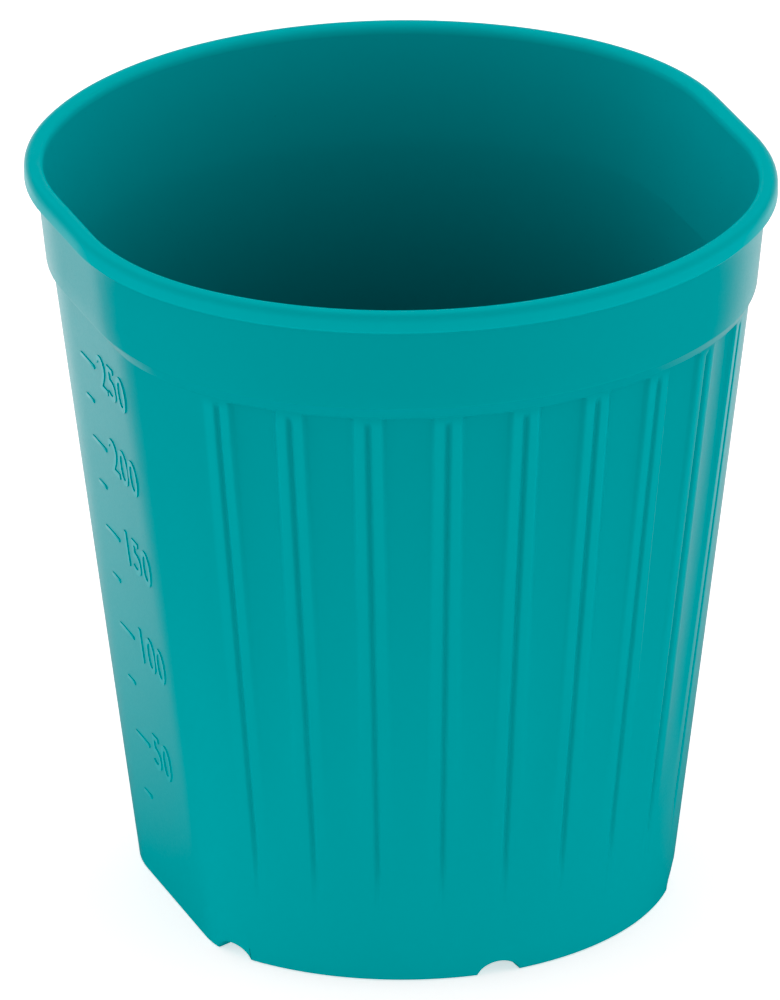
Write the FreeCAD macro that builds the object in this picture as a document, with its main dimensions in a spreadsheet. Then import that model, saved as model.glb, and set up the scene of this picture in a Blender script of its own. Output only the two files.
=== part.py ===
import FreeCAD, Part
import math
import os

import Sketcher

# A rigid drinking cup, moulded in one piece of plastic. Millimetres, +Z up.
#
# The origin is the centre of the plane that the foot stands on. Seen from above, every outline of the
# cup is a circle with two flats: the flats face +X and -X, the round sides face +Y and -Y. From the foot
# upwards the cup has a foot ring with drain notches, a tapered wall with ribs on its round sides, a step
# out to a plain collar, and a bead round the rim.
#
# Each outline is set by three sizes: the radius of its round sides, the depth by which a flat lies
# inside that radius, and the width of the flat. Four blend arcs join the flats to the round sides.

VECTOR = FreeCAD.Vector

DRIVING_SIZES = [
    ("cup_height", 91.3),          # foot plane to the top of the rim
    ("rim_radius", 45.0),          # outside of the bead, on the round sides
    ("rim_flat_depth", 2.25),
    ("rim_flat_width", 12.4),
    ("bead_height", 2.4),
    ("bead_width", 2.1),
    ("bead_top_round", 1.0),       # outer and inner top edges of the bead
    ("bead_foot_round", 0.45),     # lower outer edge of the bead
    ("bead_overhang", 0.7),        # bead past the collar, on the round sides
    ("collar_height", 10.2),
    ("collar_draft", 1.05),        # radius lost from the collar's top to its foot
    ("collar_flat_depth", 3.1),
    ("collar_flat_width", 12.4),
    ("step_height", 1.6),          # bevel under the collar
    ("step_depth", 1.15),
    ("body_flat_depth", 3.25),     # at the top of the tapered wall
    ("body_flat_width", 16.5),
    ("base_radius", 32.15),        # tapered wall carried down to the foot plane
    ("base_flat_depth", 3.0),
    ("base_flat_width", 20.9),
    ("base_edge_round", 0.8),
    ("wall", 1.8),                 # side wall, measured level
    ("floor_thickness", 2.0),
    ("floor_round", 3.0),          # inside, where the wall meets the floor
    ("foot_height", 2.4),          # depth of the hollow under the floor
    ("foot_width", 2.6),           # width of the foot ring
    ("rib_divisions", 28),         # rib pitch, as a share of a full turn
    ("panels_per_side", 8),        # recessed panels on one round side
    ("panel_angle", 7.7),          # degrees that one panel spans about the cup's axis
    ("panel_top_gap", 0.2),        # below the step
    ("panel_depth", 0.5),          # at the panel's top
    ("panel_foot_depth", 0.2),     # at the panel's foot
    ("panel_foot_height", 12.4),
    ("rib_groove_angle", 1.1),     # degrees that the line down a rib's middle spans
    ("rib_groove_depth", 0.25),
    ("notch_count", 6),
    ("notch_width", 3.6),          # at the notch's crown, before its corners are rounded
    ("notch_height", 1.5),
    ("notch_flare", 0.8),          # each side, from the crown to the foot plane
    ("notch_round", 0.8),          # the two upper corners
]

# Heights of the outlines above the foot plane.
COLLAR_TOP = "Sizes.cup_height - Sizes.bead_height"
COLLAR_FOOT = COLLAR_TOP + " - Sizes.collar_height"
BODY_TOP = COLLAR_FOOT + " - Sizes.step_height"
CUP_FLOOR = "Sizes.foot_height + Sizes.floor_thickness"

# Radii of the round sides at those heights.
COLLAR_TOP_RADIUS = "Sizes.rim_radius - Sizes.bead_overhang"
COLLAR_FOOT_RADIUS = COLLAR_TOP_RADIUS + " - Sizes.collar_draft"
BODY_TOP_RADIUS = COLLAR_FOOT_RADIUS + " - Sizes.step_depth"


def wall_share(height):
    """Share of the way up the tapered wall, from the foot plane to its top, as an expression."""
    return f"(({height}) / ({BODY_TOP}))"


def between(low, high, height):
    """Size at a height on the tapered wall, between its foot and its top, as an expression."""
    return f"({low}) + (({high}) - ({low})) * {wall_share(height)}"


FLOOR_RADIUS = between("Sizes.base_radius", BODY_TOP_RADIUS, CUP_FLOOR)
FLOOR_FLAT_DEPTH = between("Sizes.base_flat_depth", "Sizes.body_flat_depth", CUP_FLOOR)
FLOOR_FLAT_WIDTH = between("Sizes.base_flat_width", "Sizes.body_flat_width", CUP_FLOOR)

# How far a cutting profile is carried out past the surface that it cuts.
CUT_MARGIN = 2.0

# The most that a rounding may take of the wall or bead that it is on, as a share of its width.
ROUND_LIMIT = 0.48

# A face counts as level at a height if all of it lies within this distance of that height.
LEVEL_TOLERANCE = 0.001


def make_sheet(doc):
    sheet = doc.addObject("Spreadsheet::Sheet", "Sizes")
    for row, (name, number) in enumerate(DRIVING_SIZES, start=1):
        sheet.set(f"A{row}", name)
        sheet.set(f"B{row}", str(number))
        sheet.setAlias(f"B{row}", name)
    doc.recompute()
    return sheet


class Numbers:
    """The sheet's numbers, for drawing each sketch near its final size before it is constrained."""

    def __init__(self, sheet):
        for name, _ in DRIVING_SIZES:
            setattr(self, name, float(sheet.get(name)))
        self.collar_top = self.cup_height - self.bead_height
        self.collar_foot = self.collar_top - self.collar_height
        self.body_top = self.collar_foot - self.step_height
        self.cup_floor = self.foot_height + self.floor_thickness
        self.collar_top_radius = self.rim_radius - self.bead_overhang
        self.collar_foot_radius = self.collar_top_radius - self.collar_draft
        self.body_top_radius = self.collar_foot_radius - self.step_depth

    def wall_radius(self, height):
        taper = (self.body_top_radius - self.base_radius) / self.body_top
        return self.base_radius + taper * height


def origin_part(body, role):
    return next(item for item in body.Origin.OriginFeatures if item.Role == role)


def new_sketch(body, name, plane_role):
    sketch = body.newObject("Sketcher::SketchObject", name)
    sketch.AttachmentSupport = (origin_part(body, plane_role), [""])
    sketch.MapMode = "FlatFace"
    return sketch


def bind(sketch, label, constraint, expression):
    """Add a constraint whose value is an expression of the sheet's sizes."""
    number = sketch.addConstraint(constraint)
    sketch.renameConstraint(number, label)
    sketch.setExpression(f"Constraints.{label}", expression)


def outline_sketch(body, name, height, radius, flat_depth, flat_width, near):
    """A circle with two flats, level, at a height. near holds rough numbers to draw it with."""
    sketch = new_sketch(body, name, "XY_Plane")
    sketch.setExpression(".AttachmentOffset.Base.z", height)
    near_radius, near_depth, near_width = near
    half_flat = near_radius - near_depth
    flat_end = near_width / 2
    blend = near_radius - near_depth / 2 - flat_end ** 2 / (2 * near_depth)
    corner_x = half_flat - blend
    corner_angle = math.atan2(flat_end, corner_x)

    def arc(centre_x, centre_y, arc_radius, start, end):
        circle = Part.Circle(VECTOR(centre_x, centre_y, 0), VECTOR(0, 0, 1), arc_radius)
        return Part.ArcOfCircle(circle, start, end)

    turn = math.pi
    pieces = [
        Part.LineSegment(VECTOR(half_flat, -flat_end, 0), VECTOR(half_flat, flat_end, 0)),
        arc(corner_x, flat_end, blend, 0, corner_angle),
        arc(0, 0, near_radius, corner_angle, turn - corner_angle),
        arc(-corner_x, flat_end, blend, turn - corner_angle, turn),
        Part.LineSegment(VECTOR(-half_flat, flat_end, 0), VECTOR(-half_flat, -flat_end, 0)),
        arc(-corner_x, -flat_end, blend, turn, turn + corner_angle),
        arc(0, 0, near_radius, turn + corner_angle, 2 * turn - corner_angle),
        arc(corner_x, -flat_end, blend, 2 * turn - corner_angle, 2 * turn),
    ]
    sketch.addGeometry(pieces, False)
    add = sketch.addConstraint
    for index in range(len(pieces)):
        following = (index + 1) % len(pieces)
        add(Sketcher.Constraint("Tangent", index, 2, following, 1))
    for flat in (0, 4):
        add(Sketcher.Constraint("Symmetric", flat, 1, flat, 2, -1))
    for side in (2, 6):
        add(Sketcher.Constraint("Coincident", side, 3, -1, 1))
    flat_place = f"({radius}) - ({flat_depth})"
    bind(sketch, "radius", Sketcher.Constraint("Radius", 2, near_radius), radius)
    bind(sketch, "far_radius", Sketcher.Constraint("Radius", 6, near_radius), radius)
    bind(sketch, "flat_place", Sketcher.Constraint("DistanceX", -1, 1, 0, 1, half_flat), flat_place)
    bind(sketch, "far_flat_place", Sketcher.Constraint("DistanceX", 4, 1, -1, 1, half_flat), flat_place)
    bind(sketch, "flat_length", Sketcher.Constraint("DistanceY", 0, 1, 0, 2, near_width), flat_width)
    bind(sketch, "far_flat_length", Sketcher.Constraint("DistanceY", 4, 2, 4, 1, near_width), flat_width)
    return sketch


def outer_wall(body, n):
    """The solid outside of the cup up to the bead: tapered wall, step and collar.

    The flats narrow towards the top, so an outline half way up keeps the round sides close to a cone.
    """
    base = outline_sketch(body, "base_outline", "0", "Sizes.base_radius", "Sizes.base_flat_depth",
                          "Sizes.base_flat_width", (n.base_radius, n.base_flat_depth, n.base_flat_width))
    half_way = f"({BODY_TOP}) / 2"
    middle = outline_sketch(body, "middle_outline", half_way,
                            between("Sizes.base_radius", BODY_TOP_RADIUS, half_way),
                            between("Sizes.base_flat_depth", "Sizes.body_flat_depth", half_way),
                            between("Sizes.base_flat_width", "Sizes.body_flat_width", half_way),
                            (n.wall_radius(n.body_top / 2), n.body_flat_depth, n.body_flat_width))
    body_top = outline_sketch(body, "body_top_outline", BODY_TOP, BODY_TOP_RADIUS,
                              "Sizes.body_flat_depth", "Sizes.body_flat_width",
                              (n.body_top_radius, n.body_flat_depth, n.body_flat_width))
    collar_foot = outline_sketch(body, "collar_foot_outline", COLLAR_FOOT, COLLAR_FOOT_RADIUS,
                                 "Sizes.collar_flat_depth", "Sizes.collar_flat_width",
                                 (n.collar_foot_radius, n.collar_flat_depth, n.collar_flat_width))
    collar_top = outline_sketch(body, "collar_top_outline", COLLAR_TOP, COLLAR_TOP_RADIUS,
                                "Sizes.collar_flat_depth", "Sizes.collar_flat_width",
                                (n.collar_top_radius, n.collar_flat_depth, n.collar_flat_width))
    loft = body.newObject("PartDesign::AdditiveLoft", "outer_wall")
    loft.Profile = (base, [""])
    loft.Sections = [(middle, [""]), (body_top, [""]), (collar_foot, [""]), (collar_top, [""])]
    loft.Ruled = True
    return loft


def rim_bead(body, n):
    outline = outline_sketch(body, "bead_outline", COLLAR_TOP, "Sizes.rim_radius", "Sizes.rim_flat_depth",
                             "Sizes.rim_flat_width", (n.rim_radius, n.rim_flat_depth, n.rim_flat_width))
    pad = body.newObject("PartDesign::Pad", "rim_bead")
    pad.Profile = (outline, [""])
    pad.setExpression("Length", "Sizes.bead_height")
    return pad


def interior(body, n):
    """The space inside: straight walls from the floor to the tapered wall's top, then out to the bead."""
    floor_near = (n.wall_radius(n.cup_floor) - n.wall, n.base_flat_depth, n.base_flat_width)
    floor = outline_sketch(body, "inside_floor_outline", CUP_FLOOR, f"{FLOOR_RADIUS} - Sizes.wall",
                           FLOOR_FLAT_DEPTH, FLOOR_FLAT_WIDTH, floor_near)
    shoulder = outline_sketch(body, "inside_shoulder_outline", BODY_TOP, f"{BODY_TOP_RADIUS} - Sizes.wall",
                              "Sizes.body_flat_depth", "Sizes.body_flat_width",
                              (n.body_top_radius - n.wall, n.body_flat_depth, n.body_flat_width))
    mouth = outline_sketch(body, "mouth_outline", "Sizes.cup_height", "Sizes.rim_radius - Sizes.bead_width",
                           "Sizes.rim_flat_depth", "Sizes.rim_flat_width",
                           (n.rim_radius - n.bead_width, n.rim_flat_depth, n.rim_flat_width))
    loft = body.newObject("PartDesign::SubtractiveLoft", "interior")
    loft.Profile = (floor, [""])
    loft.Sections = [(shoulder, [""]), (mouth, [""])]
    loft.Ruled = True
    return loft


def foot_hollow(body, n):
    """The shallow hollow under the floor, which leaves the foot ring."""
    near = (n.base_radius - n.foot_width, n.base_flat_depth, n.base_flat_width)
    outline = outline_sketch(body, "foot_hollow_outline", "0", "Sizes.base_radius - Sizes.foot_width",
                             "Sizes.base_flat_depth", "Sizes.base_flat_width", near)
    pocket = body.newObject("PartDesign::Pocket", "foot_hollow")
    pocket.Profile = (outline, [""])
    pocket.Reversed = True
    pocket.setExpression("Length", "Sizes.foot_height")
    return pocket


def level_rings(shape, height):
    """The outer edges and the inner edges of the flat face that lies level at a height, by name."""
    for face in shape.Faces:
        box = face.BoundBox
        level = max(abs(box.ZMin - height), abs(box.ZMax - height)) < LEVEL_TOLERANCE
        if level and face.Surface.TypeId == "Part::GeomPlane":
            break
    else:
        raise RuntimeError(f"no level face at {height}")
    rings = []
    for wire in [face.OuterWire] + [wire for wire in face.Wires if not wire.isSame(face.OuterWire)]:
        numbers = [number for number, edge in enumerate(shape.Edges, start=1)
                   if any(edge.isSame(own) for own in wire.Edges)]
        rings.append([f"Edge{number}" for number in numbers])
    return rings


def round_edges(body, name, names, radius):
    base = body.Tip
    fillet = body.newObject("PartDesign::Fillet", name)
    fillet.Base = (base, names)
    fillet.setExpression("Radius", radius)
    body.Document.recompute()
    return fillet


def round_moulded_edges(body, n):
    outer, inner = level_rings(body.Tip.Shape, n.cup_height)
    bead_top_limit = f"{ROUND_LIMIT} * Sizes.bead_width"
    round_edges(body, "bead_top_edges", outer + inner, f"min(Sizes.bead_top_round; {bead_top_limit})")
    outer = level_rings(body.Tip.Shape, n.collar_top)[0]
    bead_foot_limit = f"{ROUND_LIMIT} * (Sizes.bead_height - {bead_top_limit})"
    round_edges(body, "bead_lower_edge", outer, f"min(Sizes.bead_foot_round; {bead_foot_limit})")
    outer = level_rings(body.Tip.Shape, 0)[0]
    base_limit = f"{ROUND_LIMIT} * Sizes.foot_width"
    round_edges(body, "base_edge", outer, f"min(Sizes.base_edge_round; {base_limit})")
    outer = level_rings(body.Tip.Shape, n.cup_floor)[0]
    round_edges(body, "floor_corner", outer, "Sizes.floor_round")


def upright_sketch(body, name, azimuth):
    """A sketch in an upright plane through the cup's axis. azimuth is an expression, from +X."""
    sketch = new_sketch(body, name, "XZ_Plane")
    cup_axis = VECTOR(0, 1, 0)
    sketch.AttachmentOffset = FreeCAD.Placement(VECTOR(0, 0, 0), FreeCAD.Rotation(cup_axis, 0))
    sketch.setExpression(".AttachmentOffset.Rotation.Angle", azimuth)
    return sketch


def wall_slot_sketch(body, name, azimuth, depths, n):
    """The section of a cut into the tapered wall, from the panels' foot to the panels' top."""
    top_depth, foot_depth, near_top_depth, near_foot_depth = depths
    sketch = upright_sketch(body, name, azimuth)
    near_top = n.body_top - n.panel_top_gap
    near_foot = n.panel_foot_height
    outside = n.rim_radius + CUT_MARGIN
    points = [
        VECTOR(n.wall_radius(near_foot) - near_foot_depth, near_foot, 0),
        VECTOR(outside, near_foot, 0),
        VECTOR(outside, near_top, 0),
        VECTOR(n.wall_radius(near_top) - near_top_depth, near_top, 0),
    ]
    for index, point in enumerate(points):
        sketch.addGeometry(Part.LineSegment(point, points[(index + 1) % len(points)]), False)
    add = sketch.addConstraint
    for index in range(len(points)):
        add(Sketcher.Constraint("Coincident", index, 2, (index + 1) % len(points), 1))
    add(Sketcher.Constraint("Horizontal", 0))
    add(Sketcher.Constraint("Vertical", 1))
    add(Sketcher.Constraint("Horizontal", 2))
    top_height = f"({BODY_TOP} - Sizes.panel_top_gap)"
    foot_radius = between("Sizes.base_radius", BODY_TOP_RADIUS, "Sizes.panel_foot_height")
    top_radius = between("Sizes.base_radius", BODY_TOP_RADIUS, top_height)
    bind(sketch, "foot_height", Sketcher.Constraint("DistanceY", -1, 1, 0, 1, near_foot),
         "Sizes.panel_foot_height")
    bind(sketch, "top_height", Sketcher.Constraint("DistanceY", -1, 1, 3, 1, near_top), top_height)
    bind(sketch, "outside", Sketcher.Constraint("DistanceX", -1, 1, 1, 1, outside),
         f"Sizes.rim_radius + {CUT_MARGIN}")
    bind(sketch, "foot_reach", Sketcher.Constraint("DistanceX", -1, 1, 0, 1, points[0].x),
         f"{foot_radius} - {foot_depth}")
    bind(sketch, "top_reach", Sketcher.Constraint("DistanceX", -1, 1, 3, 1, points[3].x),
         f"{top_radius} - {top_depth}")
    return sketch


def wall_cut(body, name, first_azimuth, angle, depths, n):
    """One cut of a row, revolved about the cup's axis through the angle that it spans."""
    sketch = wall_slot_sketch(body, f"{name}_section", first_azimuth, depths, n)
    groove = body.newObject("PartDesign::Groove", name)
    groove.Profile = (sketch, [""])
    groove.ReferenceAxis = (sketch, ["V_Axis"])
    groove.Midplane = True
    groove.setExpression("Angle", angle)
    body.Document.recompute()
    return groove


def repeat_round(body, name, originals, count, total_angle):
    pattern = body.newObject("PartDesign::PolarPattern", name)
    pattern.Originals = originals
    pattern.Axis = (origin_part(body, "Z_Axis"), [""])
    pattern.Mode = "Extent"
    pattern.setExpression("Angle", total_angle)
    pattern.setExpression("Occurrences", count)
    body.Tip = pattern
    body.Document.recompute()
    return pattern


def panels_and_rib_lines(body, n):
    """Recessed panels between the ribs, and the fine line down each rib, on both round sides.

    A rib stands at the middle of each round side, so each row of panels is centred on +Y or -Y.
    """
    pitch = "(360 / Sizes.rib_divisions)"
    half_row = f"(Sizes.panels_per_side / 2 * {pitch})"
    panel_depths = ("Sizes.panel_depth", "Sizes.panel_foot_depth", n.panel_depth, n.panel_foot_depth)
    line_depths = ("Sizes.rib_groove_depth", "Sizes.panel_foot_depth", n.rib_groove_depth,
                   n.panel_foot_depth)
    panels = []
    lines = []
    for side, middle in (("front", 270), ("back", 90)):
        first_panel = f"{middle} - {half_row} + {pitch} / 2"
        first_line = f"{middle} - {half_row}"
        panels.append(wall_cut(body, f"{side}_panel", first_panel, "Sizes.panel_angle", panel_depths, n))
        lines.append(wall_cut(body, f"{side}_rib_line", first_line, "Sizes.rib_groove_angle",
                              line_depths, n))
    row_angle = f"Sizes.panels_per_side * {pitch}"
    repeat_round(body, "panel_rows", panels, "Sizes.panels_per_side", f"{row_angle} - {pitch}")
    repeat_round(body, "rib_line_rows", lines, "Sizes.panels_per_side + 1", row_angle)


def drain_notches(body, n):
    """Round-cornered notches through the foot ring, the first one at -Y."""
    sketch = new_sketch(body, "notch_outline", "XZ_Plane")
    half_crown = n.notch_width / 2
    half_mouth = half_crown + n.notch_flare
    slope = math.atan2(n.notch_height, n.notch_flare)
    trim = n.notch_round * math.tan(slope / 2)
    arc_x = half_crown - trim
    arc_y = n.notch_height - n.notch_round
    side_x = half_crown + trim * math.cos(slope)
    side_y = n.notch_height - trim * math.sin(slope)
    quarter = math.pi / 2
    right_corner = Part.Circle(VECTOR(arc_x, arc_y, 0), VECTOR(0, 0, 1), n.notch_round)
    left_corner = Part.Circle(VECTOR(-arc_x, arc_y, 0), VECTOR(0, 0, 1), n.notch_round)
    sketch.addGeometry([
        Part.LineSegment(VECTOR(-half_mouth, 0, 0), VECTOR(half_mouth, 0, 0)),
        Part.LineSegment(VECTOR(half_mouth, 0, 0), VECTOR(side_x, side_y, 0)),
        Part.ArcOfCircle(right_corner, quarter - slope, quarter),
        Part.LineSegment(VECTOR(arc_x, n.notch_height, 0), VECTOR(-arc_x, n.notch_height, 0)),
        Part.ArcOfCircle(left_corner, quarter, quarter + slope),
        Part.LineSegment(VECTOR(-side_x, side_y, 0), VECTOR(-half_mouth, 0, 0)),
    ], False)
    mouth, right_side, right_arc, crown, left_arc, left_side = range(6)
    add = sketch.addConstraint
    add(Sketcher.Constraint("Coincident", mouth, 2, right_side, 1))
    add(Sketcher.Constraint("Coincident", left_side, 2, mouth, 1))
    add(Sketcher.Constraint("Tangent", right_side, 2, right_arc, 1))
    add(Sketcher.Constraint("Tangent", right_arc, 2, crown, 1))
    add(Sketcher.Constraint("Tangent", crown, 2, left_arc, 1))
    add(Sketcher.Constraint("Tangent", left_arc, 2, left_side, 1))
    add(Sketcher.Constraint("Symmetric", mouth, 1, mouth, 2, -2))
    add(Sketcher.Constraint("PointOnObject", mouth, 1, -1))
    add(Sketcher.Constraint("Symmetric", crown, 1, crown, 2, -2))
    side_angle = "atan(Sizes.notch_height / Sizes.notch_flare)"
    bind(sketch, "mouth_width", Sketcher.Constraint("DistanceX", mouth, 1, mouth, 2, 2 * half_mouth),
         "Sizes.notch_width + 2 * Sizes.notch_flare")
    bind(sketch, "rise", Sketcher.Constraint("DistanceY", mouth, 2, crown, 1, n.notch_height),
         "Sizes.notch_height")
    bind(sketch, "crown_flat", Sketcher.Constraint("DistanceX", crown, 2, crown, 1, 2 * arc_x),
         f"Sizes.notch_width - 2 * Sizes.notch_round * tan({side_angle} / 2)")
    bind(sketch, "right_round", Sketcher.Constraint("Radius", right_arc, n.notch_round),
         "Sizes.notch_round")
    bind(sketch, "left_round", Sketcher.Constraint("Radius", left_arc, n.notch_round),
         "Sizes.notch_round")
    pocket = body.newObject("PartDesign::Pocket", "drain_notch")
    pocket.Profile = (sketch, [""])
    pocket.setExpression("Length", f"Sizes.base_radius + {CUT_MARGIN}")
    body.Document.recompute()
    return repeat_round(body, "drain_notches", [pocket], "Sizes.notch_count", "360")


def cup_body(doc, n):
    """The whole cup: one moulding, one solid."""
    body = doc.addObject("PartDesign::Body", "cup_body")
    body.Label = "cup_body"
    outer_wall(body, n)
    panels_and_rib_lines(body, n)
    rim_bead(body, n)
    interior(body, n)
    foot_hollow(body, n)
    doc.recompute()
    round_moulded_edges(body, n)
    drain_notches(body, n)
    doc.recompute()
    body.Placement = FreeCAD.Placement()
    return body


def check_cuts(body):
    """Every cut takes material away, and every later feature keeps one valid solid."""
    before = None
    for item in body.Group:
        if not item.isDerivedFrom("PartDesign::Feature"):
            continue
        volume = item.Shape.Volume
        cuts = item.isDerivedFrom("PartDesign::Pocket") or item.isDerivedFrom("PartDesign::Groove")
        cuts = cuts or item.isDerivedFrom("PartDesign::PolarPattern") or item.Name == "interior"
        if cuts and not volume < before:
            raise RuntimeError(f"{item.Name} takes nothing away")
        print(f"{item.Name:22s} {volume:10.1f} mm3, {len(item.Shape.Solids)} solid")
        before = volume


def check_document(doc, sub_parts):
    doc.recompute()
    for item in doc.Objects:
        if "Invalid" in item.State or "Error" in item.State:
            raise RuntimeError(f"{item.Name} failed: {item.State}")
    for part in sub_parts:
        if part.Shape.isNull() or not part.Shape.isValid() or len(part.Shape.Solids) != 1:
            raise RuntimeError(f"{part.Label} isn't one valid solid")


def main():
    doc = FreeCAD.newDocument("moulded_cup")
    sheet = make_sheet(doc)
    numbers = Numbers(sheet)
    sub_parts = [cup_body(doc, numbers)]
    check_document(doc, sub_parts)
    for part in sub_parts:
        check_cuts(part)
    os.makedirs("parts", exist_ok=True)
    for part in sub_parts:
        part.Shape.exportStep(f"parts/{part.Label}.step")
        box = part.Shape.optimalBoundingBox()
        print(f"{part.Label}: {box.XLength:.2f} x {box.YLength:.2f} x {box.ZLength:.2f} mm")


main()
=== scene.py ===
"""A rigid moulded drinking cup with opposed flats, ribbed round sides, a collar and a beaded rim.

Lengths are in metres, +Z is up, and the origin is the centre of the plane that the foot stands on.
Seen from above, every outline of the cup is a circle with two flats, which face +X and -X. The
round sides face +Y and -Y. The sidebar of the 3D view has a tab that lists the operators.
"""

import math

import bmesh
import bpy
import numpy as np
from bpy.props import FloatProperty, FloatVectorProperty, IntProperty, PointerProperty
from bpy.types import Operator, Panel, PropertyGroup
from mathutils import Matrix, Vector


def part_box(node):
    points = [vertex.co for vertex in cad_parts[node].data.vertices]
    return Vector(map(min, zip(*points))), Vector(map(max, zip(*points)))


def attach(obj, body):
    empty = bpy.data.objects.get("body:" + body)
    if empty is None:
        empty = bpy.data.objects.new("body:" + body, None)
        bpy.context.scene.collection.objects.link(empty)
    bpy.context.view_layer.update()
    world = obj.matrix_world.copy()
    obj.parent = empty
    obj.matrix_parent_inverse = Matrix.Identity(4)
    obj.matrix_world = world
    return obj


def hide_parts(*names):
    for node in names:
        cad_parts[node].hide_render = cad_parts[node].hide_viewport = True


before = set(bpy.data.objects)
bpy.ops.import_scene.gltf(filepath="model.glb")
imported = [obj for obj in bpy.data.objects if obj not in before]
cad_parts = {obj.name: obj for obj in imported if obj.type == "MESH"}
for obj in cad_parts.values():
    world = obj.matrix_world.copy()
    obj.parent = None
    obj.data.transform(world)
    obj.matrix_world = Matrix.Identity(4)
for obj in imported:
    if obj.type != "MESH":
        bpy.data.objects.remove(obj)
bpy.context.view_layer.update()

bl_info = {
    "name": "Moulded Cup",
    "version": (1, 0, 0),
    "blender": (4, 5, 0),
    "location": "View3D > Sidebar > Moulded Cup",
    "description": "Builds a ribbed drinking cup, its raised volume scale and a small studio",
    "category": "Object",
}

CUP_NODE = "cup_body"
CUP_BODY = "root"
# Mesh layer marking where a highlight is painted into the colour: the rib crests and the bead's
# top.
HIGHLIGHTED_LAYER = "highlighted"
MM = 0.001
BEAD_STEP = 0.2 * MM      # height over which the outline changes from the collar's to the bead's
LIP_REACH = 1.25          # depth of the bead's inner side, in bead roundings
NOTCH_ARCH = 0.7          # 0.5 makes a notch's crown a half ellipse and more makes it slimmer
WALL_SPACING = 3.0 * MM   # between the mesh's rings where nothing changes
INNER_SPACING = 2.5 * MM
FOOT_SPACING = 0.8 * MM
CORNER_TURN = math.radians(15)
SHARP_TURN = math.radians(35)
MILLILITRE = 1e-6
FIGURE_SHARE = 0.70       # height of the font's figures, as a share of its size
FIGURE_EDGE = 0.04 * MM   # softened edge of a raised figure
MARK_END_STEPS = 8
NUMERAL_GAP = 1.0 * MM
NODE_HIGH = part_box(CUP_NODE)[1]


# -------------------------------------------------------------------------------------------------
# Sizes and colours that a user would change
# -------------------------------------------------------------------------------------------------

def length(name, description, millimetres):
    return FloatProperty(name=name, description=description, default=millimetres * MM, min=0.0,
                         precision=5, unit="LENGTH")


def share(name, description, default):
    return FloatProperty(name=name, description=description, default=default, min=0.0, max=1.0,
                         subtype="FACTOR")


def angle(name, description, degrees):
    return FloatProperty(name=name, description=description, default=math.radians(degrees),
                         subtype="ANGLE", unit="ROTATION")


def colour(name, description, default):
    return FloatVectorProperty(name=name, description=description, default=default, size=3, min=0.0,
                               max=1.0, subtype="COLOR")


class CupShape(PropertyGroup):
    """Outlines and heights of the moulding."""

    height: length("Height", "Foot plane to the top of the rim", NODE_HIGH.z / MM)
    rim_radius: length("Rim radius", "Outside of the bead on the round sides", NODE_HIGH.y / MM)
    rim_flat_depth: length("Rim flat depth", "How far a flat of the bead lies inside the circle",
                           (NODE_HIGH.y - NODE_HIGH.x) / MM)
    rim_flat_width: length("Rim flat width", "Width of a flat of the bead", 12.4)
    bead_height: length("Bead height", "Height of the rolled bead", 2.4)
    bead_width: length("Bead width", "Width of the rolled bead, seen from above", 2.1)
    bead_round: length("Bead rounding", "Rounding of the bead's two upper edges", 1.0)
    bead_foot_round: length("Bead foot rounding", "Rounding of the bead's lower outer edge", 0.95)
    bead_root_round: length("Bead root rounding", "Rounding of the corner under the bead", 0.5)
    bead_overhang: length("Bead overhang", "How far the bead stands out past the collar", 0.7)
    collar_height: length("Collar height", "Height of the plain collar", 10.2)
    collar_draft: length("Collar draft", "Radius lost from the collar's top to its foot", 1.05)
    collar_flat_depth: length("Collar flat depth", "Depth of the collar's flats", 3.1)
    collar_flat_width: length("Collar flat width", "Width of the collar's flats", 12.4)
    step_height: length("Step height", "Height of the bevel under the collar", 1.6)
    step_depth: length("Step depth", "How far the bevel steps in", 1.15)
    step_round: length("Step rounding", "Rounding of the bevel's outer edge", 0.45)
    step_root_round: length("Step root rounding", "Rounding of the bevel's inner corner", 0.3)
    body_flat_depth: length("Body flat depth", "Depth of the flats at the top of the wall", 3.25)
    body_flat_width: length("Body flat width", "Width of the flats at the top of the wall", 16.5)
    base_radius: length("Base radius", "Tapered wall carried down to the foot plane", 32.15)
    base_flat_depth: length("Base flat depth", "Depth of the flats at the foot", 3.0)
    base_flat_width: length("Base flat width", "Width of the flats at the foot", 20.9)
    base_round: length("Base rounding", "Rounding of the foot's outer edge", 0.8)
    wall: length("Wall", "Thickness of the side wall", 1.8)
    floor_thickness: length("Floor thickness", "Thickness of the floor", 2.0)
    floor_round: length("Floor rounding", "Rounding inside, where the wall meets the floor", 3.0)
    foot_height: length("Foot height", "Depth of the hollow under the floor", 2.4)
    foot_width: length("Foot width", "Width of the foot ring", 2.6)
    foot_inner_round: length("Foot inner rounding", "Rounding of the foot ring's inner edges", 0.4)
    notch_count: IntProperty(name="Notches", description="Notches through the foot ring", default=6,
                             min=0)
    notch_width: length("Notch width", "Width of a notch at its crown", 3.6)
    notch_height: length("Notch height", "Height of a notch", 1.5)
    notch_flare: length("Notch flare", "Each side, from the crown to the foot plane", 0.8)


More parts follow.
